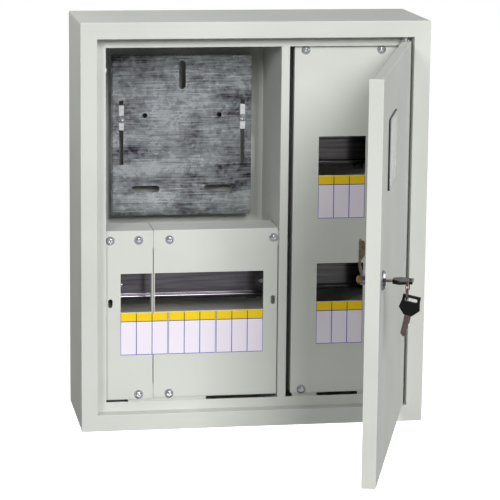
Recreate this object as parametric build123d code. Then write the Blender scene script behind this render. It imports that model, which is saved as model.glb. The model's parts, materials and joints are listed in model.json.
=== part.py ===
"""Sheet-steel meter and distribution board with a hinged, locking door.

All sizes are in millimetres. Places are measured from the lower left front corner of
the box: x to the right, y backwards from the front plane, z upwards. The finished
pieces are then moved so that the origin is the centre of the wall-fixing holes on the
back face. The door is drawn closed and swung open about its hinge pins.
"""
import os
from math import atan2, degrees

from build123d import *

# Box of folded sheet steel
WIDTH = 400.0
HEIGHT = 470.0
DEPTH = 138.0
SHEET = 1.2
FRONT_BORDER = 19.0
REBATE_DEPTH = 16.0
LIP_WIDTH = 11.0
BEND_RADIUS = 0.9
CORNER_RADIUS = 2.0
WALL_HOLE_SPAN_X = 320.0
WALL_HOLE_SPAN_Z = 330.0
WALL_HOLE_DIAMETER = 8.0
KNOCKOUT_DIAMETER = 32.0
KNOCKOUT_PITCH = 64.0
KNOCKOUT_COUNT = 3
KNOCKOUT_SLOT = 1.0
KNOCKOUT_BRIDGE = 5.0
KNOCKOUT_FROM_BACK = 45.0

# Divider between the meter side and the right-hand module side
DIVIDER_X = 230.5
DIVIDER_STRIP_WIDTH = 9.5

# Meter plate, galvanised, with the slots that take any common meter
PLATE_SHEET = 1.5
PLATE_WIDTH = 165.0
PLATE_HEIGHT = 189.5
PLATE_STANDOFF = 23.3
PLATE_RETURN = 9.0
PLATE_ABOVE_COVER = 0.3
TOP_SLOT_LENGTH = 33.5
TOP_SLOT_WIDTH = 8.0
TOP_SLOT_FROM_TOP = 6.3
METER_HOLE_DIAMETER = 5.8
METER_HOLE_SPAN = 88.0
METER_HOLE_FROM_TOP = 70.4
SIDE_SLOT_LENGTH = 76.2
SIDE_SLOT_WIDTH = 5.0
SIDE_SLOT_INSET = 10.7
SIDE_SLOT_FROM_TOP = 52.5
LOWER_SLOT_LENGTH = 33.2
LOWER_SLOT_WIDTH = 7.8
LOWER_SLOT_SPAN = 86.0
LOWER_SLOT_FROM_BOTTOM = 31.8
PLATE_SCREW_FROM_TOP = 74.3
PLATE_SCREW_HEAD_DIAMETER = 9.6
PLATE_SCREW_HEAD_HEIGHT = 3.0
CLAMP_STRIP_LENGTH = 29.4
CLAMP_STRIP_WIDTH = 5.8
CLAMP_STRIP_RISE = 1.6
CLAMP_STRIP_THICKNESS = 1.2
SUPPORT_FACE_WIDTH = 16.0
SUPPORT_FOOT_WIDTH = 14.0
SUPPORT_HEIGHT = 24.0

# Covers over the wiring and the module rows
COVER_BEHIND_LIP = 3.5
COVER_TUCK = 4.0
COVER_GAP = 3.0
INPUT_COVER_GAP = 1.6
LEFT_COVER_TOP = 230.0
SEAM_X = 84.9
SEAM_GAP = 1.0
SEAM_FLANGE_DEPTH = 12.0
LEDGE_DEPTH = 48.0
DIVIDER_GAP = 1.0
RIGHT_COVER_LEFT_GAP = 6.5
RIGHT_COVER_RIGHT_GAP = 4.0
RIGHT_FLANGE_DEPTH = 30.0
CUTOUT_HEIGHT = 45.3
LEFT_CUTOUT_WIDTH = 166.0
LEFT_CUTOUT_Z = 157.2
RIGHT_CUTOUT_WIDTH = 55.2
RIGHT_CUTOUT_INSET = 29.4
LOWER_RIGHT_CUTOUT_Z = 164.2
UPPER_RIGHT_CUTOUT_Z = 312.8
OVAL_SLOT_LENGTH = 10.5
OVAL_SLOT_WIDTH = 5.0
OVAL_SLOT_Z = 145.3

# Cover fixings
SCREW_HEAD_DIAMETER = 11.0
SCREW_HEAD_HEIGHT = 3.0
SCREW_DIAMETER = 4.0
SCREW_LENGTH = 9.0
SCREW_CLEARANCE = 0.15
RECESS_LENGTH = 5.0
RECESS_WIDTH = 1.1
RECESS_DEPTH = 1.3
EDGE_SCREW_INSET = 5.5
DIVIDER_SCREW_INSET = 5.0
INPUT_SCREW_OFFSET = 16.8
MODULE_SCREW_OFFSET = 18.8
TOP_SCREW_DROP = 11.5
BOTTOM_SCREW_RISE = 4.2
RIGHT_SCREW_NEAR_INSET = 13.0
RIGHT_SCREW_FAR_INSET = 18.5
RIGHT_SCREW_DROP = 5.0
TAB_SHEET = 1.5
TAB_FOOT_DEPTH = 18.0
TAB_REACH = 16.0
LEFT_TAB_X = 56.0
LEFT_TAB_WIDTH = 91.0
RIGHT_TAB_NEAR_WIDTH = 29.5
RIGHT_TAB_FAR_WIDTH = 36.8
TAB_SIDE_GAP = 1.0
BAR_HEIGHT = 18.0
BAR_DEPTH = 22.0
BAR_BELOW_LEDGE = 1.8

# Blank self-adhesive label strips under the cut-outs
LABEL_WIDTH = 54.6
LABEL_HEIGHT = 49.4
LABEL_PITCH = 55.6
LABEL_COUNT = 3
LABEL_DROP = 0.9
LABEL_THICKNESS = 0.2

# Module rails, 35 mm top-hat section
RAIL_BEHIND_COVER = 45.0
RAIL_WIDTH = 35.0
RAIL_INNER_WIDTH = 25.0
RAIL_DEPTH = 7.5
RAIL_SHEET = 1.0
RAIL_BEND = 1.2
LEFT_RAIL_LENGTH = 178.0
LEFT_RAIL_SHIFT = 6.0
RIGHT_RAIL_LENGTH = 100.0
STAND_WIDTH = 12.0
STAND_SHEET = 1.5
STAND_BEND = 2.0
STAND_FOOT = 22.0
STAND_INSET = 6.0
RAIL_SCREW_HEAD_DIAMETER = 7.0
RAIL_SCREW_HEAD_HEIGHT = 2.2

# Neutral and earth terminal bars on the back panel
TERMINAL_LENGTH = 120.0
TERMINAL_THICKNESS = 7.0
TERMINAL_HEIGHT = 10.0
TERMINAL_PITCH = 11.0
TERMINAL_COUNT = 9
TERMINAL_HOLE = 5.0
TERMINAL_SCREW_DIAMETER = 4.6
TERMINAL_SCREW_HEIGHT = 2.2
NEUTRAL_Z = 96.0
EARTH_Z = 62.0
POST_WIDTH = 13.0
POST_HEIGHT = 24.0
EARTH_STUD_DIAMETER = 6.0
EARTH_STUD_LENGTH = 18.0
EARTH_STUD_X = 212.0
NUT_WIDTH = 10.0
NUT_HEIGHT = 5.0
WASHER_DIAMETER = 12.0
WASHER_THICKNESS = 1.2

# Door pan and its hinge
DOOR_OPEN = 72.3
DOOR_FREE_GAP = 1.5
DOOR_TOP_GAP = 5.5
DOOR_BOTTOM_GAP = 1.5
DOOR_FREE_RETURN = 15.0
DOOR_RETURN = 10.5
HINGE_FROM_REBATE = 9.0
HINGE_DEPTH = 6.5
HINGE_EDGE = 6.0
PIN_DIAMETER = 5.0
PIN_RUNNING_CLEARANCE = 0.05
PIN_FIT_CLEARANCE = 0.1
PIN_COLLAR_DIAMETER = 10.0
PIN_COLLAR_CLEARANCE = 0.3
PIN_COLLAR_HEIGHT = 2.0
PIN_REACH = 6.0
PIN_HEAD_DIAMETER = 9.0
PIN_HEAD_HEIGHT = 2.0

# Meter window in the door
WINDOW_WIDTH = 86.0
WINDOW_HEIGHT = 75.5
WINDOW_Z = 358.3
WINDOW_CORNER = 5.0
GASKET_LIP = 1.2
GASKET_WALL = 0.7
GASKET_COVER = 2.0
GASKET_PROUD = 1.6
GASKET_BACK = 1.5
PANE_FLANGE = 0.7
PANE_EDGE_INSET = 0.3
PANE_DEPTH = 0.7

# Cam lock in the door
LOCK_FROM_FREE_EDGE = 24.0
LOCK_ABOVE_COVER = 6.0
LOCK_HEAD_DIAMETER = 21.0
LOCK_HEAD_HEIGHT = 4.0
LOCK_BARREL_DIAMETER = 16.0
LOCK_BARREL_FLATS = 14.0
LOCK_FIT_CLEARANCE = 0.15
LOCK_LENGTH = 15.0
LOCK_NUT_WIDTH = 22.0
LOCK_NUT_HEIGHT = 4.0
PLUG_DIAMETER = 11.0
PLUG_RUNNING_CLEARANCE = 0.05
PLUG_PROUD = 0.4
PLUG_END_GAP = 5.2
PLUG_SQUARE = 6.0
PLUG_STUD_DIAMETER = 4.0
PLUG_STUD_REACH = 4.4
CAM_THICKNESS = 2.0
CAM_HUB_RADIUS = 5.5
CAM_LENGTH = 41.5
CAM_HALF_WIDTH = 5.2
CAM_CRANK = 2.0
CAM_CRANK_START = 7.0
CAM_CRANK_RUN = 6.0
CAM_LIP_CLEARANCE = 0.6
CAM_FOLD_START = 15.0
CAM_FOLD_TAPER = 12.0
CAM_FOLD_CORNER = 3.0
CAM_NUT_WIDTH = 7.0
CAM_NUT_HEIGHT = 3.2

# Flat keys on a split ring
KEY_BLADE_THICKNESS = 2.0
KEY_BLADE_WIDTH = 7.0
KEY_BLADE_LENGTH = 22.5
KEY_BLADE_INSERTED = 15.9
KEYWAY_CLEARANCE = 0.15
BOW_LENGTH = 21.0
BOW_END_WIDTH = 18.7
BOW_MAX_WIDTH = 22.0
BOW_NECK_WIDTH = 9.0
BOW_SHOULDER = 7.0
BOW_TAPER = 15.0
BOW_NECK_THICKNESS = 5.0
BOW_END_THICKNESS = 2.8
BOW_EDGE_ROUND = 0.8
KEY_SLOT_LENGTH = 13.0
KEY_SLOT_WIDTH = 3.6
KEY_SLOT_FROM_END = 3.0
RING_INNER_RADIUS = 9.0
RING_WIRE = 1.3
RING_THICKNESS = 2.6
RING_CHAMFER = 0.4
RING_DROP = 6.5
HANG_CLEARANCE = 0.4
HANG_FROM_SLOT_END = 2.6
BOW_DENSITY = 1.2
BLADE_DENSITY = 7.8

# Places that follow from the sizes above
lip_edge = FRONT_BORDER + LIP_WIDTH
lip_back = REBATE_DEPTH + SHEET
back_inside = DEPTH - SHEET
strip_right = DIVIDER_X + DIVIDER_STRIP_WIDTH
meter_side_x = (lip_edge + DIVIDER_X) / 2
cover_front = lip_back + COVER_BEHIND_LIP
cover_back = cover_front + SHEET
cover_bottom = lip_edge + COVER_GAP
tab_back = cover_back + TAB_SHEET
tab_height = cover_bottom + TAB_REACH
bar_top = LEFT_COVER_TOP - SHEET - BAR_BELOW_LEDGE
bar_low = bar_top - BAR_HEIGHT
right_cover_left = strip_right + RIGHT_COVER_LEFT_GAP
right_cover_right = WIDTH - lip_edge - RIGHT_COVER_RIGHT_GAP
right_cover_top = HEIGHT - lip_edge + COVER_TUCK
right_side_x = right_cover_left + RIGHT_CUTOUT_INSET + RIGHT_CUTOUT_WIDTH / 2
left_cover_right = DIVIDER_X - DIVIDER_GAP
top_screw_z = LEFT_COVER_TOP - TOP_SCREW_DROP
bottom_screw_z = cover_bottom + BOTTOM_SCREW_RISE
right_top_screw_z = HEIGHT - lip_edge - RIGHT_SCREW_DROP
edge_screw_x = lip_edge + EDGE_SCREW_INSET
divider_screw_x = left_cover_right - DIVIDER_SCREW_INSET
plate_front = back_inside - PLATE_STANDOFF - PLATE_SHEET
plate_back = plate_front + PLATE_SHEET
plate_bottom = LEFT_COVER_TOP + PLATE_ABOVE_COVER
plate_top = plate_bottom + PLATE_HEIGHT
rail_front = cover_front + RAIL_BEHIND_COVER
rail_back = rail_front + RAIL_DEPTH
terminal_back = back_inside - POST_HEIGHT
terminal_front = terminal_back - TERMINAL_THICKNESS
hinge_x = WIDTH - FRONT_BORDER - HINGE_FROM_REBATE
door_left = FRONT_BORDER + DOOR_FREE_GAP
door_right = hinge_x + HINGE_EDGE
door_bottom = FRONT_BORDER + DOOR_BOTTOM_GAP
door_top = HEIGHT - FRONT_BORDER - DOOR_TOP_GAP
lock_x = door_left + LOCK_FROM_FREE_EDGE
lock_z = LEFT_COVER_TOP + LOCK_ABOVE_COVER
cam_front = LOCK_LENGTH + PLUG_END_GAP
cam_back = cam_front + CAM_THICKNESS
bow_neck_y = -LOCK_HEAD_HEIGHT - PLUG_PROUD - (KEY_BLADE_LENGTH - KEY_BLADE_INSERTED)
key_slot_from_neck = BOW_LENGTH - KEY_SLOT_FROM_END - KEY_SLOT_WIDTH / 2
ring_y = bow_neck_y - key_slot_from_neck
side_bar_width = (BOW_END_WIDTH - KEY_SLOT_LENGTH) / 2
ring_x = lock_x - KEY_SLOT_LENGTH / 2 - side_bar_width / 2
ring_z = lock_z - RING_DROP
hang_z = ring_z - RING_INNER_RADIUS - RING_WIRE / 2
screw_hole = SCREW_DIAMETER + 2 * SCREW_CLEARANCE


def front_plane(y):
    """Drawing plane parallel to the front, y behind it, with x right and z up."""
    return Plane((0, y, 0), x_dir=(1, 0, 0), z_dir=(0, -1, 0))


def plate(outline, y0, y1):
    """Extrude an outline drawn in x and z from depth y0 back to depth y1."""
    return extrude(front_plane(y0) * outline, -(y1 - y0))


def rectangle(x0, x1, z0, z1, corner=0.0):
    """Rectangle between two corners in the front view, with rounded corners if asked."""
    place = Pos((x0 + x1) / 2, (z0 + z1) / 2)
    if corner > 0:
        return place * RectangleRounded(x1 - x0, z1 - z0, corner)
    return place * Rectangle(x1 - x0, z1 - z0)


def inset_rectangle(inset, corner=0.0):
    """The box's front outline, drawn in by the same distance all round."""
    return rectangle(inset, WIDTH - inset, inset, HEIGHT - inset, corner)


def block(x0, x1, y0, y1, z0, z1):
    """Rectangular sheet or bar between two corners."""
    return plate(rectangle(x0, x1, z0, z1), y0, y1)


def upright_rod(x, y, z0, z1, diameter):
    """Round bar along z."""
    return Pos(x, y, (z0 + z1) / 2) * Cylinder(diameter / 2, z1 - z0)


def rod(x, z, y0, y1, diameter):
    """Round bar along y."""
    return plate(Pos(x, z) * Circle(diameter / 2), y0, y1)


def hexagon_nut(x, z, y0, y1, width, bore):
    """Hexagon nut with its bore along y."""
    outline = RegularPolygon(width / 2, 6, major_radius=False) - Circle(bore / 2)
    return plate(Pos(x, z) * outline, y0, y1)


def turned(x, z, outline):
    """Turned piece about an axis along y, from a closed outline of radius and depth."""
    section = Plane((x, 0, z), x_dir=(1, 0, 0), z_dir=(0, 0, 1)) * make_face(outline)
    return revolve(section, Axis((x, 0, z), (0, 1, 0)))


def bent_strip(points, thickness, x0, x1, bend=0.0):
    """Strip of sheet bent along (y, z) points, with rounded bends if asked, from x0 to x1."""
    side = Plane((x0, 0, 0), x_dir=(0, 1, 0), z_dir=(1, 0, 0))
    line = FilletPolyline(*points, radius=bend) if bend > 0 else Polyline(*points)
    return extrude(side * trace(line, thickness), x1 - x0)


def front_edges(solid):
    """Edges round the outside of the foremost face."""
    return solid.faces().sort_by(Axis.Y)[0].outer_wire().edges()


def dome_screw(x, z, seat_y, length=SCREW_LENGTH, head=SCREW_HEAD_DIAMETER, height=SCREW_HEAD_HEIGHT):
    """Dome-head screw with a cross recess, its head seated on the plane at seat_y."""
    radius = head / 2
    shank = SCREW_DIAMETER / 2
    top = seat_y - height
    dome = (radius * radius + height * height) / (2 * height)
    half_way = (radius / 2, top + dome - (dome * dome - radius * radius / 4) ** 0.5)
    end = seat_y + length
    outline = Polyline((0, top), (0, end), (shank, end), (shank, seat_y), (radius, seat_y))
    outline += ThreePointArc((radius, seat_y), half_way, (0, top))
    screw = turned(x, z, outline)
    recess = Rectangle(RECESS_LENGTH, RECESS_WIDTH) + Rectangle(RECESS_WIDTH, RECESS_LENGTH)
    return screw - plate(Pos(x, z) * recess, top, top + RECESS_DEPTH)


def holes(places, diameter, y0, y1):
    """Round cuts along y at a list of (x, z) places."""
    return [rod(x, z, y0, y1, diameter) for x, z in places]


def enclosure_shell():
    """Side walls, front border, door rebate and inner lip, folded and welded as one."""
    inner_corner = max(CORNER_RADIUS - SHEET, 0)
    walls = plate(inset_rectangle(0, CORNER_RADIUS) - inset_rectangle(SHEET, inner_corner), 0, DEPTH)
    border = plate(inset_rectangle(0, CORNER_RADIUS) - inset_rectangle(FRONT_BORDER), 0, SHEET)
    rebate = plate(inset_rectangle(FRONT_BORDER - SHEET) - inset_rectangle(FRONT_BORDER), 0, lip_back)
    lip = plate(inset_rectangle(FRONT_BORDER - SHEET) - inset_rectangle(lip_edge), REBATE_DEPTH, lip_back)
    shell = walls + border + rebate + lip
    face = shell.faces().sort_by(Axis.Y)[0]
    shell = fillet(face.outer_wire().edges() + face.inner_wires()[0].edges(), BEND_RADIUS)
    for z in (FRONT_BORDER - SHEET, HEIGHT - FRONT_BORDER):
        shell -= upright_rod(hinge_x, HINGE_DEPTH, z, z + SHEET, PIN_DIAMETER + 2 * PIN_FIT_CLEARANCE)
    first = WIDTH / 2 - (KNOCKOUT_COUNT - 1) / 2 * KNOCKOUT_PITCH
    for number in range(KNOCKOUT_COUNT):
        shell -= knockout_slot(first + number * KNOCKOUT_PITCH, DEPTH - KNOCKOUT_FROM_BACK)
    return shell


def knockout_slot(x, y):
    """Ring-shaped cut through the floor of the box, held by two bridges."""
    ring = Circle(KNOCKOUT_DIAMETER / 2) - Circle(KNOCKOUT_DIAMETER / 2 - KNOCKOUT_SLOT)
    ring -= Rectangle(KNOCKOUT_DIAMETER, KNOCKOUT_BRIDGE)
    return Pos(x, y, 0) * extrude(ring, SHEET)


def wall_hole_places():
    """The four wall-fixing holes."""
    return [
        (WIDTH / 2 + side * WALL_HOLE_SPAN_X / 2, HEIGHT / 2 + level * WALL_HOLE_SPAN_Z / 2)
        for side in (-1, 1)
        for level in (-1, 1)
    ]


def back_panel():
    """Flat panel welded into the back of the box."""
    panel = plate(inset_rectangle(SHEET, max(CORNER_RADIUS - SHEET, 0)), back_inside, DEPTH)
    return panel - holes(wall_hole_places(), WALL_HOLE_DIAMETER, back_inside, DEPTH)


def divider():
    """Full-depth web with a narrow front strip that lies flush with the lip."""
    web = block(DIVIDER_X, DIVIDER_X + SHEET, lip_back, back_inside, SHEET, HEIGHT - SHEET)
    strip = block(DIVIDER_X, strip_right, REBATE_DEPTH, lip_back, lip_edge, HEIGHT - lip_edge)
    piece = web + strip
    bend = piece.edges().filter_by(Axis.Z).group_by(Axis.Y)[0].sort_by(Axis.X)[0]
    return fillet(bend, min(BEND_RADIUS, SHEET * 0.9))


def side_slot_places():
    """Middle of each long slot at the sides of the meter plate."""
    z = plate_top - SIDE_SLOT_FROM_TOP - SIDE_SLOT_LENGTH / 2
    reach = PLATE_WIDTH / 2 - SIDE_SLOT_INSET
    return [(meter_side_x + side * reach, z) for side in (-1, 1)]


def plate_screw_places():
    """The screws that hold the meter plate through its side slots."""
    z = plate_top - PLATE_SCREW_FROM_TOP
    return [(x, z) for x, _ in side_slot_places()]


def meter_plate():
    """Folded pan with a top slot, two holes, two long side slots and two lower slots."""
    left = meter_side_x - PLATE_WIDTH / 2
    right = meter_side_x + PLATE_WIDTH / 2
    depth = plate_front + PLATE_RETURN
    pan = block(left, right, plate_front, depth, plate_bottom, plate_top)
    pan = fillet(front_edges(pan), BEND_RADIUS)
    inside = (left + PLATE_SHEET, right - PLATE_SHEET, plate_back, depth)
    pan -= block(*inside, plate_bottom + PLATE_SHEET, plate_top - PLATE_SHEET)
    top_slot_z = plate_top - TOP_SLOT_FROM_TOP - TOP_SLOT_LENGTH / 2
    lower_z = plate_bottom + LOWER_SLOT_FROM_BOTTOM
    hole_z = plate_top - METER_HOLE_FROM_TOP
    cuts = [Pos(meter_side_x, top_slot_z) * Rot(0, 0, 90) * SlotOverall(TOP_SLOT_LENGTH, TOP_SLOT_WIDTH)]
    for side in (-1, 1):
        cuts.append(Pos(meter_side_x + side * METER_HOLE_SPAN / 2, hole_z) * Circle(METER_HOLE_DIAMETER / 2))
        slot = SlotOverall(LOWER_SLOT_LENGTH, LOWER_SLOT_WIDTH)
        cuts.append(Pos(meter_side_x + side * LOWER_SLOT_SPAN / 2, lower_z) * slot)
    for x, z in side_slot_places():
        cuts.append(Pos(x, z) * Rectangle(SIDE_SLOT_WIDTH, SIDE_SLOT_LENGTH))
    return pan - [plate(cut, plate_front, plate_back) for cut in cuts]


def meter_plate_supports():
    """Two Z-folded brackets on the back panel, behind the screws that carry the meter plate."""
    supports = []
    for side, (x, z) in zip((-1, 1), plate_screw_places()):
        outer = x + side * SUPPORT_FACE_WIDTH / 2
        inner = x - side * SUPPORT_FACE_WIDTH / 2
        foot = inner - side * SUPPORT_FOOT_WIDTH
        middle = inner + side * PLATE_SHEET / 2
        line = Polyline(
            (outer, plate_back + PLATE_SHEET / 2),
            (middle, plate_back + PLATE_SHEET / 2),
            (middle, back_inside - PLATE_SHEET / 2),
            (foot, back_inside - PLATE_SHEET / 2),
        )
        low = z - SUPPORT_HEIGHT / 2
        bracket = Pos(0, 0, low) * extrude(trace(line, PLATE_SHEET), SUPPORT_HEIGHT)
        supports.append(bracket - rod(x, z, plate_back, plate_back + PLATE_SHEET, screw_hole))
    return supports


def meter_plate_clamp_strips():
    """Flat strips under the screw heads that bridge the side slots."""
    strips = []
    for x, z in plate_screw_places():
        outline = Pos(x, z + CLAMP_STRIP_RISE) * Rectangle(CLAMP_STRIP_WIDTH, CLAMP_STRIP_LENGTH)
        outline -= Pos(x, z) * Circle(screw_hole / 2)
        strips.append(plate(outline, plate_front - CLAMP_STRIP_THICKNESS, plate_front))
    return strips


def meter_plate_screws():
    """Dome-head screws through the clamp strips into the supports."""
    seat = plate_front - CLAMP_STRIP_THICKNESS
    size = {"head": PLATE_SCREW_HEAD_DIAMETER, "height": PLATE_SCREW_HEAD_HEIGHT}
    return [dome_screw(x, z, seat, SCREW_LENGTH, **size) for x, z in plate_screw_places()]


def left_cutout():
    """Outline of the wide module cut-out that both left covers share."""
    return Pos(meter_side_x, LEFT_CUTOUT_Z) * Rectangle(LEFT_CUTOUT_WIDTH, CUTOUT_HEIGHT)


def left_cover(x0, x1, bottom, flange_x0, screws, oval_x):
    """Front sheet with its top folded back as a ledge and its seam edge as a flange."""
    face = rectangle(x0, x1, bottom, LEFT_COVER_TOP) - left_cutout()
    face -= Pos(oval_x, OVAL_SLOT_Z) * Rot(0, 0, 90) * SlotOverall(OVAL_SLOT_LENGTH, OVAL_SLOT_WIDTH)
    cover = plate(face, cover_front, cover_back)
    ledge_back = cover_front + LEDGE_DEPTH
    cover += block(x0, x1, cover_front, ledge_back, LEFT_COVER_TOP - SHEET, LEFT_COVER_TOP)
    flange_back = cover_front + SEAM_FLANGE_DEPTH
    flange_bottom = tab_height + TAB_SIDE_GAP
    flange_top = bar_low - TAB_SIDE_GAP
    cover += block(flange_x0, flange_x0 + SHEET, cover_front, flange_back, flange_bottom, flange_top)
    top_bend = cover.edges().filter_by(Axis.X).group_by(Axis.Z)[-1].sort_by(Axis.Y)[0]
    cover = fillet(top_bend, min(BEND_RADIUS, SHEET * 0.9))
    return cover - holes(screws, screw_hole, cover_front, cover_back)


def input_cover_screws():
    """Screw places of the narrow cover over the incoming wiring."""
    x = SEAM_X - INPUT_SCREW_OFFSET
    return [(edge_screw_x, top_screw_z), (x, top_screw_z), (x, bottom_screw_z)]


def module_cover_screws():
    """Screw places of the wide cover over the left module row."""
    x = SEAM_X + MODULE_SCREW_OFFSET
    return [(divider_screw_x, top_screw_z), (x, top_screw_z), (x, bottom_screw_z)]


def input_cover():
    """Narrow left cover."""
    left, right = lip_edge - COVER_TUCK, SEAM_X - SEAM_GAP / 2
    bottom = lip_edge + INPUT_COVER_GAP
    return left_cover(left, right, bottom, right - SHEET, input_cover_screws(), edge_screw_x)


def module_cover():
    """Wide left cover."""
    left = SEAM_X + SEAM_GAP / 2
    return left_cover(left, left_cover_right, cover_bottom, left, module_cover_screws(), divider_screw_x)


def right_cover_screws():
    """Screw places of the tall right cover."""
    columns = (right_cover_left + RIGHT_SCREW_NEAR_INSET, right_cover_right - RIGHT_SCREW_FAR_INSET)
    return [(x, z) for x in columns for z in (bottom_screw_z, right_top_screw_z)]


def right_cover():
    """Tall cover with two module cut-outs and both long edges folded back."""
    left, right = right_cover_left, right_cover_right
    flange_back = cover_front + RIGHT_FLANGE_DEPTH
    cover = block(left, right, cover_front, flange_back, cover_bottom, right_cover_top)
    bends = cover.edges().filter_by(Axis.Z).group_by(Axis.Y)[0]
    cover = fillet(bends, BEND_RADIUS)
    cover -= block(left + SHEET, right - SHEET, cover_back, flange_back, cover_bottom, right_cover_top)
    for z in (LOWER_RIGHT_CUTOUT_Z, UPPER_RIGHT_CUTOUT_Z):
        outline = Pos(right_side_x, z) * Rectangle(RIGHT_CUTOUT_WIDTH, CUTOUT_HEIGHT)
        cover -= plate(outline, cover_front, cover_back)
    return cover - holes(right_cover_screws(), screw_hole, cover_front, cover_back)


def fixing_tab(x0, x1, screws, upside_down=False):
    """Angle welded to the floor or roof of the box, its upright behind a cover's edge."""
    tab = block(x0, x1, cover_back, tab_back, SHEET, tab_height)
    tab += block(x0, x1, cover_back, cover_back + TAB_FOOT_DEPTH, SHEET, SHEET + TAB_SHEET)
    if upside_down:
        tab = Pos(0, 0, HEIGHT) * mirror(tab, Plane.XY)
    return tab - holes(screws, screw_hole, cover_back, tab_back)


def cover_tabs():
    """The angles that the covers' lower and upper screws go into."""
    low_left = input_cover_screws()[2:] + module_cover_screws()[2:]
    tabs = [fixing_tab(LEFT_TAB_X, LEFT_TAB_X + LEFT_TAB_WIDTH, low_left)]
    first = right_cover_left + SHEET + TAB_SIDE_GAP
    last = right_cover_right - SHEET - TAB_SIDE_GAP
    for x0, x1 in ((first, first + RIGHT_TAB_NEAR_WIDTH), (last - RIGHT_TAB_FAR_WIDTH, last)):
        screws = right_cover_screws()
        tabs.append(fixing_tab(x0, x1, screws))
        tabs.append(fixing_tab(x0, x1, screws, upside_down=True))
    return tabs


def cover_support_bar():
    """Angle across the left side that the left covers' upper screws go into."""
    bar = block(SHEET, DIVIDER_X, cover_back, tab_back, bar_low, bar_top)
    bar += block(SHEET, DIVIDER_X, cover_back, cover_back + BAR_DEPTH, bar_low, bar_low + TAB_SHEET)
    screws = input_cover_screws()[:2] + module_cover_screws()[:2]
    return bar - holes(screws, screw_hole, cover_back, tab_back)


def left_cover_screw_set():
    """Screws of both left covers."""
    return [dome_screw(x, z, cover_front) for x, z in input_cover_screws() + module_cover_screws()]


def right_cover_screw_set():
    """Screws of the right cover."""
    return [dome_screw(x, z, cover_front) for x, z in right_cover_screws()]


def label_strip(x0, top):
    """One blank label strip stuck on a cover."""
    outline = rectangle(x0, x0 + LABEL_WIDTH, top - LABEL_HEIGHT, top)
    return plate(outline, cover_front - LABEL_THICKNESS, cover_front)


def label_strips():
    """Named label strips: three under the wide cut-out and one under each right cut-out."""
    strips = {}
    drop = CUTOUT_HEIGHT / 2 + LABEL_DROP
    first = meter_side_x - LEFT_CUTOUT_WIDTH / 2
    for number in range(LABEL_COUNT):
        x0 = first + number * LABEL_PITCH
        strips[f"label_strip_left_{number + 1}"] = label_strip(x0, LEFT_CUTOUT_Z - drop)
    x0 = right_side_x - LABEL_WIDTH / 2
    strips["label_strip_right_upper"] = label_strip(x0, UPPER_RIGHT_CUTOUT_Z - drop)
    strips["label_strip_right_lower"] = label_strip(x0, LOWER_RIGHT_CUTOUT_Z - drop)
    return strips


def stand_places(x, length):
    """The two stands near a rail's ends."""
    return [x - length / 2 + STAND_INSET, x + length / 2 - STAND_INSET]


def module_rail(x, z, length):
    """Rolled top-hat rail, open to the front, centred on x and z."""
    half_sheet = RAIL_SHEET / 2
    flange = RAIL_WIDTH / 2
    web = RAIL_INNER_WIDTH / 2 + half_sheet
    line = [
        (rail_front + half_sheet, z + flange),
        (rail_front + half_sheet, z + web),
        (rail_back - half_sheet, z + web),
        (rail_back - half_sheet, z - web),
        (rail_front + half_sheet, z - web),
        (rail_front + half_sheet, z - flange),
    ]
    rail = bent_strip(line, RAIL_SHEET, x - length / 2, x + length / 2, RAIL_BEND)
    screws = [(place, z) for place in stand_places(x, length)]
    return rail - holes(screws, screw_hole, rail_back - RAIL_SHEET, rail_back)


def rail_rows():
    """Centre, height and length of each module rail."""
    return {
        "module_rail_left": (meter_side_x + LEFT_RAIL_SHIFT, LEFT_CUTOUT_Z, LEFT_RAIL_LENGTH),
        "module_rail_right_upper": (right_side_x, UPPER_RIGHT_CUTOUT_Z, RIGHT_RAIL_LENGTH),
        "module_rail_right_lower": (right_side_x, LOWER_RIGHT_CUTOUT_Z, RIGHT_RAIL_LENGTH),
    }


def rail_stands():
    """Z-folded stands between the rails and the back panel."""
    stands = []
    half = STAND_SHEET / 2
    for x, z, length in rail_rows().values():
        for place in stand_places(x, length):
            pad = RAIL_INNER_WIDTH / 2
            line = [
                (rail_back + half, z + pad),
                (rail_back + half, z - pad),
                (back_inside - half, z - pad),
                (back_inside - half, z - pad - STAND_FOOT),
            ]
            left, right = place - STAND_WIDTH / 2, place + STAND_WIDTH / 2
            stand = bent_strip(line, STAND_SHEET, left, right, STAND_BEND)
            stands.append(stand - rod(place, z, rail_back, rail_back + STAND_SHEET, screw_hole))
    return stands


def rail_screws():
    """Screws through the rails into their stands."""
    seat = rail_back - RAIL_SHEET
    size = {"head": RAIL_SCREW_HEAD_DIAMETER, "height": RAIL_SCREW_HEAD_HEIGHT}
    return [
        dome_screw(place, z, seat, SCREW_LENGTH, **size)
        for x, z, length in rail_rows().values()
        for place in stand_places(x, length)
    ]


def terminal_places(count=TERMINAL_COUNT):
    """Places of the clamping screws along a terminal bar."""
    first = meter_side_x - (count - 1) / 2 * TERMINAL_PITCH
    return [first + number * TERMINAL_PITCH for number in range(count)]


def terminal_posts(z):
    """Two posts that hold a terminal bar off the back panel, at its ends."""
    reach = (TERMINAL_LENGTH - POST_WIDTH) / 2
    outline = Rectangle(POST_WIDTH, POST_WIDTH)
    return [
        plate(Pos(x, z) * outline, terminal_back, back_inside)
        for x in (meter_side_x - reach, meter_side_x + reach)
    ]


def terminal_bar(z):
    """Brass bar with a wire hole and a clamping screw hole at each place."""
    half = TERMINAL_LENGTH / 2
    low, high = z - TERMINAL_HEIGHT / 2, z + TERMINAL_HEIGHT / 2
    bar = block(meter_side_x - half, meter_side_x + half, terminal_front, terminal_back, low, high)
    bar = chamfer(bar.edges().filter_by(Axis.X), TERMINAL_THICKNESS / 10)
    for x in terminal_places():
        bar -= upright_rod(x, (terminal_front + terminal_back) / 2, low, high, TERMINAL_HOLE)
    return bar


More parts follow.
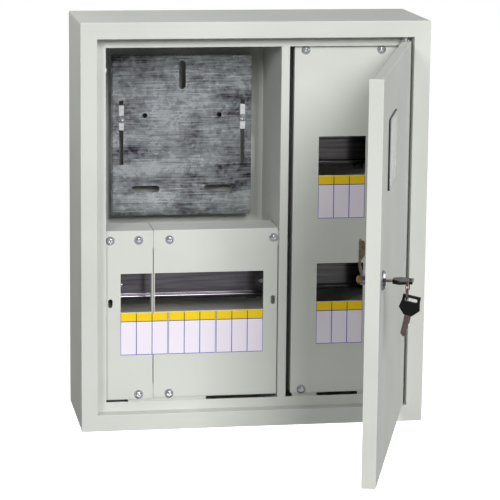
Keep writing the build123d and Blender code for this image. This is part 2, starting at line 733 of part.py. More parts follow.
def terminal_screws(z):
    """Slotted clamping screws standing on the front of a terminal bar."""
    screws = []
    for x in terminal_places():
        screw = rod(x, z, terminal_front - TERMINAL_SCREW_HEIGHT, terminal_front, TERMINAL_SCREW_DIAMETER)
        slot = Pos(x, z) * Rectangle(TERMINAL_SCREW_DIAMETER, TERMINAL_SCREW_DIAMETER / 4)
        top = terminal_front - TERMINAL_SCREW_HEIGHT
        screws.append(screw - plate(slot, top, top + TERMINAL_SCREW_HEIGHT / 2))
    return screws


def earth_stud():
    """Stud welded to the back panel for the earth conductor."""
    return rod(EARTH_STUD_X, EARTH_Z, back_inside - EARTH_STUD_LENGTH, back_inside, EARTH_STUD_DIAMETER)


def earth_nuts():
    """Washer and nut on the earth stud."""
    bore = EARTH_STUD_DIAMETER + 2 * SCREW_CLEARANCE
    place = Pos(EARTH_STUD_X, EARTH_Z)
    ring = Circle(WASHER_DIAMETER / 2) - Circle(bore / 2)
    washer_front = back_inside - WASHER_THICKNESS
    washer = plate(place * ring, washer_front, back_inside)
    nut = hexagon_nut(EARTH_STUD_X, EARTH_Z, washer_front - NUT_HEIGHT, washer_front, NUT_WIDTH, bore)
    return [washer, nut]


def hinge_pin(rebate_z, door_z, away):
    """Turned hinge pin: riveted head behind the rebate, collar by the door, end in the door."""
    outside = rebate_z + away * SHEET
    collar_start = door_z + away * PIN_COLLAR_CLEARANCE
    collar_height = min(PIN_COLLAR_HEIGHT, abs(rebate_z - collar_start))
    levels = {
        PIN_DIAMETER: (door_z - away * (SHEET + PIN_REACH), outside),
        PIN_COLLAR_DIAMETER: (collar_start, collar_start + away * collar_height),
        PIN_HEAD_DIAMETER: (outside, outside + away * PIN_HEAD_HEIGHT),
    }
    pin = None
    for diameter, ends in levels.items():
        length = upright_rod(hinge_x, HINGE_DEPTH, min(ends), max(ends), diameter)
        pin = length if pin is None else pin + length
    return pin


def window_outline(inset):
    """Window outline drawn in from the outside of its gasket."""
    corner = max(WINDOW_CORNER - inset, 0.5)
    size = RectangleRounded(WINDOW_WIDTH - 2 * inset, WINDOW_HEIGHT - 2 * inset, corner)
    return Pos(meter_side_x, WINDOW_Z) * size


def lock_outline(clearance=0.0):
    """Round outline with two flats that keep the lock from turning in its hole."""
    diameter = LOCK_BARREL_DIAMETER + 2 * clearance
    flats = Rectangle(LOCK_BARREL_FLATS + 2 * clearance, diameter)
    return Pos(lock_x, lock_z) * (Circle(diameter / 2) & flats)


def door_panel():
    """Door pan folded on all four sides, with the window and lock openings."""
    outline = rectangle(door_left, door_right, door_bottom, door_top, CORNER_RADIUS / 2)
    pan = plate(outline, 0, DOOR_FREE_RETURN)
    pan = fillet(front_edges(pan), BEND_RADIUS)
    inside = rectangle(door_left + SHEET, door_right - SHEET, door_bottom + SHEET, door_top - SHEET)
    pan -= plate(inside, SHEET, DOOR_FREE_RETURN)
    pan -= block(door_left + SHEET, door_right, DOOR_RETURN, DOOR_FREE_RETURN, door_bottom, door_top)
    pan -= plate(window_outline(GASKET_LIP), 0, SHEET)
    pan -= plate(lock_outline(LOCK_FIT_CLEARANCE), 0, SHEET)
    for z in (door_bottom, door_top - SHEET):
        bore = PIN_DIAMETER + 2 * PIN_RUNNING_CLEARANCE
        pan -= upright_rod(hinge_x, HINGE_DEPTH, z, z + SHEET, bore)
    return pan


def window_gasket():
    """Rubber glazing profile: a lip on each face of the door and a seat for the pane."""
    wall = GASKET_LIP + GASKET_WALL
    back = SHEET + GASKET_BACK
    gasket = plate(window_outline(0) - window_outline(wall), -GASKET_PROUD, 0)
    gasket = fillet(front_edges(gasket), GASKET_PROUD / 3)
    gasket += plate(window_outline(GASKET_LIP) - window_outline(wall), 0, back)
    gasket += plate(window_outline(0) - window_outline(wall), SHEET, back)
    gasket += plate(window_outline(GASKET_LIP) - window_outline(wall + GASKET_COVER), PANE_DEPTH, back)
    return gasket


def window_pane():
    """Clear moulding set in the gasket from the front, with a thin flange that covers its face."""
    flange = plate(window_outline(PANE_EDGE_INSET), -GASKET_PROUD - PANE_FLANGE, -GASKET_PROUD)
    return flange + plate(window_outline(GASKET_LIP + GASKET_WALL), -GASKET_PROUD, PANE_DEPTH)


def lock_housing():
    """Turned lock body: bevelled head outside, flatted barrel through the door."""
    head = LOCK_HEAD_DIAMETER / 2
    bore = PLUG_DIAMETER / 2 + PLUG_RUNNING_CLEARANCE
    face = -LOCK_HEAD_HEIGHT
    bevel = LOCK_HEAD_HEIGHT / 2
    profile = [(bore, face), (head - bevel, face), (head, face + bevel), (head, 0), (bore, 0)]
    collar = turned(lock_x, lock_z, Polyline(*profile, close=True))
    barrel = plate(lock_outline(), 0, LOCK_LENGTH) - rod(lock_x, lock_z, 0, LOCK_LENGTH, 2 * bore)
    return collar + barrel


def lock_nut():
    """Hexagon nut that clamps the lock to the door."""
    bore = LOCK_BARREL_DIAMETER + 2 * LOCK_FIT_CLEARANCE
    return hexagon_nut(lock_x, lock_z, SHEET, SHEET + LOCK_NUT_HEIGHT, LOCK_NUT_WIDTH, bore)


def lock_plug():
    """Turning core with a keyway in front, a square for the cam and a threaded stud."""
    face = -LOCK_HEAD_HEIGHT - PLUG_PROUD
    plug = rod(lock_x, lock_z, face, cam_front, PLUG_DIAMETER)
    plug += plate(Pos(lock_x, lock_z) * Rectangle(PLUG_SQUARE, PLUG_SQUARE), cam_front, cam_back)
    plug += rod(lock_x, lock_z, cam_back, cam_back + PLUG_STUD_REACH, PLUG_STUD_DIAMETER)
    width = KEY_BLADE_WIDTH + 2 * KEYWAY_CLEARANCE
    thickness = KEY_BLADE_THICKNESS + 2 * KEYWAY_CLEARANCE
    keyway = Pos(lock_x, lock_z) * Rectangle(width, thickness)
    return plug - plate(keyway, face, face + KEY_BLADE_INSERTED + KEYWAY_CLEARANCE)


def lock_cam():
    """Cranked locking lever that points up when the lock is open, one edge folded to the lip."""
    middle = (cam_front + cam_back) / 2
    arm_back = cam_back + CAM_CRANK
    line = [
        (middle, lock_z - CAM_HUB_RADIUS),
        (middle, lock_z + CAM_CRANK_START),
        (middle + CAM_CRANK, lock_z + CAM_CRANK_START + CAM_CRANK_RUN),
        (middle + CAM_CRANK, lock_z + CAM_LENGTH),
    ]
    widest = max(CAM_HUB_RADIUS, CAM_HALF_WIDTH)
    strip = bent_strip(line, CAM_THICKNESS, lock_x - widest, lock_x + widest)
    outline = Circle(CAM_HUB_RADIUS)
    outline += Pos(0, CAM_LENGTH / 2) * Rectangle(2 * CAM_HALF_WIDTH, CAM_LENGTH)
    lever = strip & plate(Pos(lock_x, lock_z) * outline, cam_front - CAM_THICKNESS, arm_back)
    fold_front = lip_back + CAM_LIP_CLEARANCE
    low, high = lock_z + CAM_FOLD_START, lock_z + CAM_LENGTH
    leaf = [(arm_back, low), (arm_back, high), (fold_front, high), (fold_front, low + CAM_FOLD_TAPER)]
    fold = make_face(Polyline(*leaf, close=True))
    fold = fillet(fold.vertices().group_by(Axis.X)[0], CAM_FOLD_CORNER)
    side = Plane((lock_x - CAM_HALF_WIDTH, 0, 0), x_dir=(0, 1, 0), z_dir=(1, 0, 0))
    lever += extrude(side * fold, CAM_THICKNESS)
    square = Pos(lock_x, lock_z) * Rectangle(PLUG_SQUARE, PLUG_SQUARE)
    return lever - plate(square, cam_front, cam_back)


def cam_nut():
    """Brass nut that holds the cam on the plug."""
    bore = PLUG_STUD_DIAMETER + 2 * LOCK_FIT_CLEARANCE
    return hexagon_nut(lock_x, lock_z, cam_back, cam_back + CAM_NUT_HEIGHT, CAM_NUT_WIDTH, bore)


def key_blade_solid():
    """Cut blade along +y from the key's neck at the origin, flat in x and y."""
    half = KEY_BLADE_WIDTH / 2
    tip = KEY_BLADE_LENGTH
    bit = KEY_BLADE_INSERTED / 6
    cuts = (0.28, 0.12, 0.34, 0.2)
    points = [(-half, 0), (half, 0), (half, tip - 5.5 * bit)]
    for number, depth in enumerate(cuts):
        start = tip - (5 - number) * bit
        points.append((half - depth * half, start))
        points.append((half - depth * half, start + bit / 2))
    points += [(half / 4, tip), (-half / 4, tip), (-half, tip - bit)]
    blade = extrude(make_face(Polyline(*points, close=True)), KEY_BLADE_THICKNESS)
    return Pos(0, 0, -KEY_BLADE_THICKNESS / 2) * blade


def key_bow_solid():
    """Moulded grip along -y from the key's neck at the origin, with a slot for the ring."""
    side = [
        (BOW_NECK_WIDTH / 2, 0),
        (BOW_MAX_WIDTH / 2, -BOW_SHOULDER),
        (BOW_END_WIDTH / 2, -BOW_TAPER),
        (BOW_END_WIDTH / 2, -BOW_LENGTH),
    ]
    points = side + [(-x, y) for x, y in reversed(side)]
    grip = extrude(make_face(Polyline(*points, close=True)), BOW_NECK_THICKNESS / 2, both=True)
    neck, end = BOW_NECK_THICKNESS / 2, BOW_END_THICKNESS / 2
    wedge = Polyline((0, -neck), (0, neck), (-BOW_LENGTH, end), (-BOW_LENGTH, -end), close=True)
    side_view = Plane((0, 0, 0), x_dir=(0, 1, 0), z_dir=(1, 0, 0))
    grip &= extrude(side_view * make_face(wedge), BOW_MAX_WIDTH / 2, both=True)
    slot = Pos(0, -key_slot_from_neck) * SlotOverall(KEY_SLOT_LENGTH, KEY_SLOT_WIDTH)
    grip -= extrude(slot, BOW_NECK_THICKNESS / 2, both=True)
    broad = grip.faces().sort_by(Axis.Z)
    return fillet(broad[0].edges() + broad[-1].edges(), BOW_EDGE_ROUND)


def key_place():
    """The key in the lock: blade into the keyway, flat side up."""
    return Pos(lock_x, bow_neck_y, lock_z)


def spare_place():
    """The spare key: it hangs on the ring with its centre of mass under the ring's wire."""
    bow, blade = key_bow_solid(), key_blade_solid()
    bow_mass, blade_mass = bow.volume * BOW_DENSITY, blade.volume * BLADE_DENSITY
    middle = (bow.center().Y * bow_mass + blade.center().Y * blade_mass) / (bow_mass + blade_mass)
    sideways = (bow.center().X * bow_mass + blade.center().X * blade_mass) / (bow_mass + blade_mass)
    hang_x = HANG_FROM_SLOT_END - KEY_SLOT_LENGTH / 2
    hang_y = KEY_SLOT_FROM_END - BOW_LENGTH + HANG_CLEARANCE + RING_WIRE / 2
    tilt = degrees(atan2(sideways - hang_x, middle - hang_y))
    hanging = Plane((ring_x, ring_y, hang_z), x_dir=(0, -1, 0), z_dir=(1, 0, 0))
    return hanging.location * Rot(0, 0, tilt) * Pos(-hang_x, -hang_y, 0)


def key_ring():
    """Key ring through the slot of the key in the lock, two turns of flat wire side by side."""
    radius = RING_INNER_RADIUS + RING_WIRE / 2
    turn = chamfer(Rectangle(RING_WIRE, RING_THICKNESS / 2).vertices(), RING_CHAMFER)
    section = Pos(radius, RING_THICKNESS / 4) * turn + Pos(radius, -RING_THICKNESS / 4) * turn
    ring = revolve(Plane.XZ * section, Axis.Z)
    return Pos(ring_x, ring_y, ring_z) * Rot(90, 0, 0) * ring


def swing_open(piece):
    """Turn a door piece from closed to open about the hinge."""
    hinge = Pos(hinge_x, HINGE_DEPTH, 0)
    return hinge * Rot(0, 0, DOOR_OPEN) * hinge.inverse() * piece


fixed_nodes = {
    "enclosure_shell": enclosure_shell(),
    "back_panel": back_panel(),
    "divider": divider(),
    "meter_plate": meter_plate(),
    "meter_plate_supports": meter_plate_supports(),
    "meter_plate_clamp_strips": meter_plate_clamp_strips(),
    "meter_plate_screws": meter_plate_screws(),
    "input_cover": input_cover(),
    "module_cover": module_cover(),
    "right_cover": right_cover(),
    "cover_tabs": cover_tabs(),
    "cover_support_bar": cover_support_bar(),
    "left_cover_screws": left_cover_screw_set(),
    "right_cover_screws": right_cover_screw_set(),
    "rail_stands": rail_stands(),
    "rail_screws": rail_screws(),
    "neutral_bar": terminal_bar(NEUTRAL_Z),
    "neutral_bar_insulators": terminal_posts(NEUTRAL_Z),
    "neutral_bar_screws": terminal_screws(NEUTRAL_Z),
    "earth_bar": terminal_bar(EARTH_Z),
    "earth_bar_posts": terminal_posts(EARTH_Z),
    "earth_bar_screws": terminal_screws(EARTH_Z),
    "earth_stud": earth_stud(),
    "earth_stud_nut": earth_nuts(),
    "hinge_pin_top": hinge_pin(HEIGHT - FRONT_BORDER, door_top, 1),
    "hinge_pin_bottom": hinge_pin(FRONT_BORDER, door_bottom, -1),
}
for rail_name, rail_row in rail_rows().items():
    fixed_nodes[rail_name] = module_rail(*rail_row)
fixed_nodes.update(label_strips())

swinging_nodes = {
    "door_panel": door_panel(),
    "window_gasket": window_gasket(),
    "window_pane": window_pane(),
    "lock_housing": lock_housing(),
    "lock_nut": lock_nut(),
    "lock_plug": lock_plug(),
    "lock_cam": lock_cam(),
    "cam_nut": cam_nut(),
    "key_blade": key_place() * key_blade_solid(),
    "key_bow": key_place() * key_bow_solid(),
    "key_ring": key_ring(),
    "spare_key_blade": spare_place() * key_blade_solid(),
    "spare_key_bow": spare_place() * key_bow_solid(),
}

to_origin = Pos(-WIDTH / 2, -DEPTH, -HEIGHT / 2)
os.makedirs("parts", exist_ok=True)
all_nodes = dict(fixed_nodes)
for name, piece in swinging_nodes.items():
    all_nodes[name] = swing_open(piece)
for name, piece in all_nodes.items():
    solids = piece if isinstance(piece, list) else piece.solids()
    placed = [to_origin * solid for solid in solids]
    whole = placed[0] if len(placed) == 1 else Compound(children=placed)
    export_step(whole, f"parts/{name}.step")
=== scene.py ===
"""Looks of the sheet-steel meter board: finishes, printed labels, split ring, light and camera."""

import json
from math import pi, radians

import bpy
from mathutils import Matrix, Vector


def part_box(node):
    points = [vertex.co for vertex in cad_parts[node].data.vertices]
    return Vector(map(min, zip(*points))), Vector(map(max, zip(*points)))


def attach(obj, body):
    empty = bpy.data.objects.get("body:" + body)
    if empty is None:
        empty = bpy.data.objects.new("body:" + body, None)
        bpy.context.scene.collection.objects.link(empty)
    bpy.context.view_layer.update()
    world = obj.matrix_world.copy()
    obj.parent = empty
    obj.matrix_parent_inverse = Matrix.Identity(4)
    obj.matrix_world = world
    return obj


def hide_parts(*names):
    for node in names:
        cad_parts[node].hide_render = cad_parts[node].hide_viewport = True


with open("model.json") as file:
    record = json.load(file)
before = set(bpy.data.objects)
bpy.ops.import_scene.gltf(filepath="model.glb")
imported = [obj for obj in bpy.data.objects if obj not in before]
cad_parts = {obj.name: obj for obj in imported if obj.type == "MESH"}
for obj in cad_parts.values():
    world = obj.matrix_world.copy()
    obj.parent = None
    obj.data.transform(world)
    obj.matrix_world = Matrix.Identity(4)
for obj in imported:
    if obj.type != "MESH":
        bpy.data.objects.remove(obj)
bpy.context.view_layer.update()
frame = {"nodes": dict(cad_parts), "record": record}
nodes = frame["nodes"]
MM = 0.001
WHITE = (1.0, 1.0, 1.0, 1.0)


def paint(code):
    """Linear colour from an sRGB hex code."""
    channels = [int(code[i:i + 2], 16) / 255 for i in (0, 2, 4)]
    linear = [c / 12.92 if c <= 0.04045 else ((c + 0.055) / 1.055) ** 2.4 for c in channels]
    return (*linear, 1.0)


def feed(tree, node, inputs):
    """Set or link a node's inputs."""
    for socket, value in inputs.items():
        if isinstance(value, bpy.types.NodeSocket):
            tree.links.new(value, node.inputs[socket])
        else:
            node.inputs[socket].default_value = value


def put(tree, kind, inputs=None, **settings):
    """Add a node with its settings, and set or link its inputs."""
    new = tree.nodes.new(kind)
    for name, value in settings.items():
        setattr(new, name, value)
    feed(tree, new, inputs or {})
    return new


def finish_named(name):
    """A new material with its tree, its shader and the coordinates of the piece that wears it."""
    material = bpy.data.materials.new(name)
    material.use_nodes = True
    tree = material.node_tree
    place = put(tree, "ShaderNodeTexCoord").outputs["Object"]
    return material, tree, tree.nodes["Principled BSDF"], place


def per(size_mm):
    """Texture scale at which one cell of the pattern measures size_mm."""
    return 1 / (size_mm * MM)


def stretched(tree, place, size_mm, shift=(0.0, 0.0, 0.0)):
    """Coordinates that count in units of size_mm along x, y and z, from a shifted start."""
    scale = tuple(per(size) for size in size_mm)
    return put(tree, "ShaderNodeMapping", {"Vector": place, "Location": shift, "Scale": scale}).outputs[0]


def noise(tree, place, scale, detail, roughness=0.5):
    """Cloudy pattern from 0 to 1."""
    inputs = {"Vector": place, "Scale": scale, "Detail": detail, "Roughness": roughness}
    return put(tree, "ShaderNodeTexNoise", inputs).outputs["Fac"]


def shade(tree, value, dark, light, low=0.0, high=1.0):
    """Colour that runs from dark to light while the value runs from low to high."""
    ramp = put(tree, "ShaderNodeValToRGB", {"Fac": value})
    first, last = ramp.color_ramp.elements
    first.color = paint(dark)
    first.position = low
    last.color = paint(light)
    last.position = high
    return ramp.outputs["Color"]


def spread(tree, value, low, high, over=(0.0, 1.0)):
    """Value that runs from low to high while another runs over a range, and holds beyond it."""
    inputs = {"Value": value, "From Min": over[0], "From Max": over[1], "To Min": low, "To Max": high}
    return put(tree, "ShaderNodeMapRange", inputs).outputs["Result"]


def mix(tree, factor, first, second):
    """Blend of two values."""
    return put(tree, "ShaderNodeMix", {"Factor": factor, 2: first, 3: second}).outputs[0]


def mix_colour(tree, factor, first, second):
    """Blend of two colours."""
    inputs = {"Factor": factor, 6: first, 7: second}
    return put(tree, "ShaderNodeMix", inputs, data_type="RGBA").outputs[2]


def reckon(tree, operation, *values, **settings):
    """Result of a sum or a comparison."""
    inputs = dict(enumerate(values))
    return put(tree, "ShaderNodeMath", inputs, operation=operation, **settings).outputs[0]


def split(tree, place):
    """The x, y and z of a set of coordinates."""
    return put(tree, "ShaderNodeSeparateXYZ", {0: place}).outputs


def relief(tree, height, strength, depth_mm):
    """Fine relief of a surface."""
    inputs = {"Height": height, "Strength": strength, "Distance": depth_mm * MM}
    return put(tree, "ShaderNodeBump", inputs).outputs["Normal"]


FILM_IOR = 1.45
PLASTIC_IOR = 1.5
ACRYLIC_IOR = 1.49


def powder_coat():
    """Polyester powder on sheet steel: a satin, faintly pebbled film that levels in soft waves."""
    material, tree, shader, place = finish_named("light_grey_powder_coat")
    # Film thickness drifts over a hand's width and shifts the grey by a hair.
    drift = noise(tree, place, per(120), detail=2.0)
    # Real pebbling is about 0.5 mm; it is drawn at 1.5 mm so that it shows in the picture.
    pebble = noise(tree, place, per(1.5), detail=3.0)
    wave = noise(tree, place, per(9), detail=1.0)
    height = reckon(tree, "ADD", pebble, wave)
    feed(tree, shader, {
        "Base Color": shade(tree, drift, "C8CAC4", "D0D2CC", low=0.3, high=0.7),
        "Roughness": spread(tree, wave, low=0.6, high=0.72),
        "Normal": relief(tree, height, strength=0.18, depth_mm=0.05),
        "IOR": FILM_IOR,
    })
    return material


def galvanised_sheet():
    """Hot-dip galvanised plate: blue-grey zinc with cloudy spangle and rolling marks across it."""
    material, tree, shader, place = finish_named("galvanised_sheet")
    cloud = noise(tree, place, per(48), detail=5.0, roughness=0.6)
    # Rolling marks run across the plate: about 30 mm long and 1.8 mm high.
    marks = noise(tree, stretched(tree, place, (30, 30, 1.8)), 1.0, detail=4.0)
    # Spangle is about 4 mm across.
    spangle = put(tree, "ShaderNodeTexVoronoi", {"Vector": place, "Scale": per(4)})
    flake = put(tree, "ShaderNodeSeparateColor", {"Color": spangle.outputs["Color"]}).outputs["Red"]
    # Dipping in molten zinc leaves wider stripes, about 130 mm long and 22 mm high; their start is
    # shifted so that a lighter stripe falls low on the plate, which is painted light.
    shifted_zinc_stripes_painted_light = stretched(tree, place, (130, 130, 22), shift=(0.0, 0.0, 5.2))
    zinc_stripes_and_painted_light = noise(tree, shifted_zinc_stripes_painted_light, 1.0, detail=2.0)
    drift = mix(tree, 0.45, cloud, zinc_stripes_and_painted_light)
    rolled_and_painted_light = mix(tree, 0.28, drift, marks)
    mottle_and_painted_light = mix(tree, 0.06, rolled_and_painted_light, flake)
    feed(tree, shader, {
        "Base Color": shade(tree, mottle_and_painted_light, "423C4A", "E2E8EC", low=0.4, high=0.6),
        "Roughness": spread(tree, mottle_and_painted_light, low=0.36, high=0.2),
        "Normal": relief(tree, marks, strength=0.08, depth_mm=0.1),
        "Metallic": 0.86,
    })
    return material


def plated_metal(name, dark, light, rough, cell_mm, metallic=1.0, stretch=1.0):
    """Plated or drawn metal with a drift in tone and gloss; stretch draws it out along x."""
    material, tree, shader, place = finish_named(name)
    drawn = stretched(tree, place, (cell_mm * stretch, cell_mm, cell_mm))
    cloud = noise(tree, drawn, 1.0, detail=3.0)
    feed(tree, shader, {
        "Base Color": shade(tree, cloud, dark, light, low=0.3, high=0.7),
        "Roughness": spread(tree, cloud, low=rough * 0.8, high=rough * 1.3),
        "Metallic": metallic,
    })
    return material


def moulded_plastic(name, dark, light, rough, grain_mm):
    """Moulded plastic or rubber: a soft sheen broken by the grain of the mould."""
    material, tree, shader, place = finish_named(name)
    grain = noise(tree, place, per(grain_mm), detail=3.0)
    feed(tree, shader, {
        "Base Color": shade(tree, grain, dark, light),
        "Roughness": rough,
        "Normal": relief(tree, grain, strength=0.2, depth_mm=0.05),
        "IOR": PLASTIC_IOR,
    })
    return material


def clear_pane():
    """Clear acrylic sheet: sharp reflections at a flat angle and a few faint wiping hazes."""
    material, tree, shader, place = finish_named("clear_acrylic_pane")
    haze = noise(tree, place, per(30), detail=2.0)
    feed(tree, shader, {
        "Base Color": paint("EEF2F1"),
        "Roughness": spread(tree, haze, low=0.02, high=0.1),
        "Transmission Weight": 0.9,
        "IOR": ACRYLIC_IOR,
    })
    return material


LABEL_CELLS = 3
LABEL_HEADER_MM = 10.0
LABEL_LINE_MM = 0.45
LABEL_FOOT_MM = 0.63


def printed_label(node):
    """Blank printed film: a yellow header ruled in dark ink over white cells ruled in blue."""
    low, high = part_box(node)
    width = (high.x - low.x) / MM
    height = (high.z - low.z) / MM
    head_z = height - LABEL_HEADER_MM
    material, tree, shader, place = finish_named(node + "_print")
    # Millimetres from the film's lower left corner.
    corner = (-low.x / MM, 0.0, -low.z / MM)
    spot = split(tree, stretched(tree, place, (1, 1, 1), shift=corner))
    from_rule = reckon(tree, "PINGPONG", spot["X"], width / LABEL_CELLS / 2)
    ruled = reckon(tree, "LESS_THAN", from_rule, LABEL_LINE_MM)
    foot = reckon(tree, "LESS_THAN", spot["Z"], LABEL_FOOT_MM)
    under = reckon(tree, "COMPARE", spot["Z"], head_z, LABEL_LINE_MM)
    lines = reckon(tree, "MAXIMUM", ruled, foot)
    lines = reckon(tree, "MAXIMUM", lines, under)
    header = reckon(tree, "GREATER_THAN", spot["Z"], head_z)
    film = mix_colour(tree, header, paint("EAE3EF"), paint("F0CB00"))
    ink = mix_colour(tree, header, paint("3434B0"), paint("3A2E10"))
    fibre = noise(tree, place, per(2), detail=2.0)
    feed(tree, shader, {
        "Base Color": mix_colour(tree, lines, film, ink),
        "Roughness": spread(tree, fibre, low=0.38, high=0.5),
        "IOR": FILM_IOR,
    })
    return material


nickel = plated_metal("nickel_plated_steel", "8F7F7C", "B5A3A0", 0.2, 2)
# The clamp strips wear a whiter, less metallic copy of the zinc: a painted highlight that stands for the
# bright sheen on them.
strip_zinc_painted_highlight = plated_metal("zinc_with_painted_highlight", "CDCDD0", "E6E6E8", 0.35, 3, metallic=0.35)
# The rails wear a darker copy of the zinc: painted shade of the dim inside of the box; its drawn streaks
# are the metal's own.
rail_zinc_painted_shade = plated_metal("zinc_with_painted_shade", "6B676D", "96929A", 0.17, 3, stretch=20.0)
by_slot = {
    "powder_coat": powder_coat(),
    "galvanised_sheet": galvanised_sheet(),
    "zinc_plated_steel": plated_metal("bright_zinc_plating", "D4D8DE", "F0F2F5", 0.16, 3, metallic=0.82),
    "passivated_steel": plated_metal("yellow_passivated_zinc", "8F7B66", "B5A48E", 0.3, 4),
    "brass": plated_metal("drawn_brass", "B58F3E", "CDA956", 0.28, 3),
    "blue_insulator": moulded_plastic("blue_moulded_insulator", "244F8C", "2F5FA0", 0.45, 1.0),
    "black_rubber": moulded_plastic("black_extruded_rubber", "0B0B0C", "1A1A1B", 0.6, 1.2),
    "clear_pane": clear_pane(),
    "bright_chrome": plated_metal("polished_chrome", "9A9AA0", "B5B5BA", 0.08, 6),
    "key_steel": nickel,
    "black_grip": moulded_plastic("black_moulded_grip", "040405", "0C0C0E", 0.28, 0.8),
}
for part in frame["record"]["subparts"]:
    node = part["node"]
    slot = part["material_slot"]
    if slot == "label_film":
        finish = printed_label(node)
    # The rails take the darker zinc with its painted shade.
    elif node.startswith("module_rail"):
        finish = rail_zinc_painted_shade
    # The clamp strips take the whiter zinc with its painted highlight.
    elif node == "meter_plate_clamp_strips":
        finish = strip_zinc_painted_highlight
    else:
        finish = by_slot[slot]
    nodes[node].data.materials.clear()
    nodes[node].data.materials.append(finish)

RING_WIRE = 1.3 * MM
RING_WIRE_SIDES = 12
# Almost two turns of wire, in degrees; the step takes the wire over from the first turn to the second.
RING_SWEEP = 665.0
RING_TURN = 5.0
RING_STEP = (310.0, 355.0)


def strand_ring():
    """Spring-steel split ring: two turns of wire side by side, joined by one short step."""
    low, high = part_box("key_ring")
    centre = (low + high) / 2
    joints = frame["record"]["behaviour"]["joints"]
    axis = next(Vector(joint["axis"]) for joint in joints if joint["name"] == "ring_swing")
    outer = (high.z - low.z) / 2
    middle = outer - RING_WIRE / 2
    bpy.ops.object.select_all(action="DESELECT")
    # The wire is a hair thinner than its pitch, so that its two turns don't merge.
    bpy.ops.mesh.primitive_circle_add(
        vertices=RING_WIRE_SIDES, radius=RING_WIRE * 0.48, fill_type="NGON",
        location=(middle, 0, -RING_WIRE / 2), rotation=(pi / 2, 0, 0),
    )
    ring = bpy.context.object
    ring.name = "split_ring_two_turns"
    bpy.ops.object.transform_apply(location=True, rotation=True, scale=True)
    bpy.ops.object.mode_set(mode="EDIT")
    bpy.ops.mesh.select_all(action="SELECT")
    first, last = RING_STEP
    lift = RING_WIRE * RING_TURN / (last - first)
    for number in range(int(RING_SWEEP / RING_TURN)):
        bpy.ops.mesh.extrude_region()
        bpy.ops.transform.rotate(value=radians(RING_TURN), orient_axis="Z", center_override=(0, 0, 0))
        if first <= number * RING_TURN < last:
            bpy.ops.transform.translate(value=(0, 0, lift))
    bpy.ops.mesh.select_all(action="SELECT")
    bpy.ops.mesh.normals_make_consistent(inside=False)
    bpy.ops.object.mode_set(mode="OBJECT")
    ring.rotation_euler = Vector((0, 0, 1)).rotation_difference(axis).to_euler()
    ring.location = centre
    bpy.ops.object.transform_apply(location=True, rotation=True, scale=True)
    bpy.ops.object.shade_smooth_by_angle(angle=radians(50))
    ring.data.materials.append(nickel)
    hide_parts("key_ring")
    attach(ring, "key_ring")


strand_ring()

BOARD = (0, -0.1, 0)


def soft_panel(name, place, size, watts, aim=BOARD):
    """Softbox aimed at a point."""
    data = bpy.data.lights.new(name, "AREA")
    data.shape = "RECTANGLE"
    data.size, data.size_y = size
    data.energy = watts
    lamp = bpy.data.objects.new(name, data)
    bpy.context.scene.collection.objects.link(lamp)
    lamp.location = place
    lamp.rotation_euler = (Vector(aim) - Vector(place)).to_track_quat("-Z", "Y").to_euler()
    return lamp


# Light: a broad softbox high in front, a small panel by the left side and a weak one at the right
soft_panel("front_panel", (1.27, -7.9, 4.1), (3.0, 4.0), 625)
soft_panel("left_panel", (-0.62, -0.03, 0.6), (0.35, 0.35), 1.6, aim=(-0.2, -0.07, 0.1))
soft_panel("right_panel", (2.4, -0.4, 0.6), (1.4, 1.4), 16)
# The fill from the front left lifts the shadows of the paint and is kept out of the metal's reflections.
fill = soft_panel("left_fill", (-2.5, -4.3, 1.8), (1.1, 1.2), 86)
fill.visible_glossy = False
# A panel behind the board keeps its back readable from there.
behind = soft_panel("back_panel", (0.7, 4.6, -0.3), (1.6, 0.8), 80, aim=(0, -0.05, 0))
behind.visible_camera = False
behind.visible_glossy = False


def background_rays(tree):
    """Two masks: rays that see the backdrop itself, and those of them that a surface mirrors."""
    rays = put(tree, "ShaderNodeLightPath").outputs
    glossy = rays["Is Glossy Ray"]
    through = rays["Is Transmission Ray"]
    seen = reckon(tree, "MAXIMUM", rays["Is Camera Ray"], glossy)
    seen = reckon(tree, "MAXIMUM", seen, through)
    # A ray through the clear pane counts as glossy too, so it is taken out of the mirrored ones.
    mirrored = reckon(tree, "SUBTRACT", glossy, through, use_clamp=True)
    return seen, mirrored


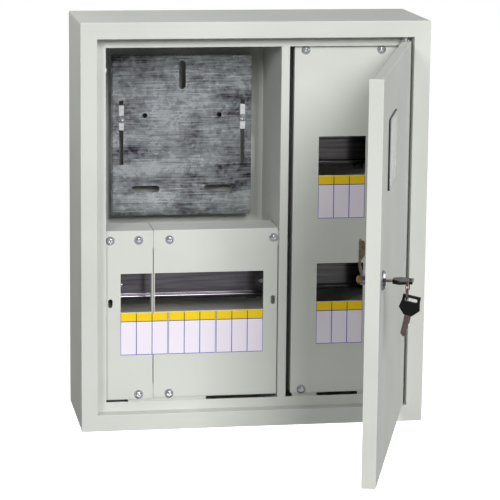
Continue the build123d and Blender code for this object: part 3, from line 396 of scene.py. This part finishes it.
def studio_world():
    """White backdrop around a dim room."""
    world = bpy.data.worlds.new("studio")
    bpy.context.scene.world = world
    world.use_nodes = True
    sky = world.node_tree
    sky.nodes.clear()
    seen, mirrored = background_rays(sky)
    heading = split(sky, put(sky, "ShaderNodeTexCoord").outputs["Generated"])
    # Metal mirrors a pale backdrop behind the board and a dimmer room in front of it.
    room = spread(sky, heading["Y"], low=0.12, high=0.6, over=(-0.3, 0.5))
    shown = mix(sky, mirrored, 1.0, room)
    # The room's own light fades from overhead down to the floor.
    dome = spread(sky, heading["Z"], low=0.0, high=0.14, over=(-1.0, 1.0))
    level = mix(sky, seen, dome, shown)
    glow = put(sky, "ShaderNodeBackground", {"Color": WHITE, "Strength": level})
    put(sky, "ShaderNodeOutputWorld", {"Surface": glow.outputs[0]})


FLOOR_SIZE = 30
FLOOR_Z = -1.4


def studio_floor():
    """Pale matt floor well below the hung board, running out to white."""
    bpy.ops.object.select_all(action="DESELECT")
    bpy.ops.mesh.primitive_plane_add(size=FLOOR_SIZE, location=(0, 0, FLOOR_Z))
    floor = bpy.context.object
    floor.name = "studio_floor"
    matt, tree, shader, place = finish_named("white_studio_floor")
    seen, mirrored = background_rays(tree)
    distance = put(tree, "ShaderNodeVectorMath", {0: place}, operation="LENGTH").outputs["Value"]
    run_out = spread(tree, distance, low=0.8, high=1.0, over=(2.4, 3.3))
    # Metal mirrors the pale floor behind the board and a dark one in front of it.
    far_floor = spread(tree, split(tree, place)["Y"], low=0.0, high=0.6, over=(0.0, 3.0))
    shown = mix(tree, mirrored, run_out, far_floor)
    feed(tree, shader, {
        "Base Color": paint("949494"),
        "Roughness": 0.9,
        "Emission Color": WHITE,
        "Emission Strength": reckon(tree, "MULTIPLY", seen, shown),
    })
    floor.data.materials.append(matt)


studio_world()
studio_floor()

# Camera, from the photograph's fitted view: its eye and its three axes
LENS_MM = 172.62
SENSOR_MM = 36.0
EYE = (-0.457938, -2.788702, 0.507731)
RIGHT = Vector((0.98609007, -0.16588788, 0.01037266))
DOWN = Vector((-0.02228453, -0.19379322, -0.98078927))
AHEAD = Vector((0.1647112, 0.9669154, -0.1947943))
camera_data = bpy.data.cameras.new("photo_view")
camera_data.lens = LENS_MM
camera_data.sensor_width = SENSOR_MM
camera_data.clip_end = 100.0
camera = bpy.data.objects.new("photo_view", camera_data)
bpy.context.scene.collection.objects.link(camera)
turn = Matrix((RIGHT, -DOWN, -AHEAD)).transposed()
camera.matrix_world = Matrix.Translation(EYE) @ turn.to_4x4()
bpy.context.scene.camera = camera
bpy.context.scene.view_settings.view_transform = "Standard"
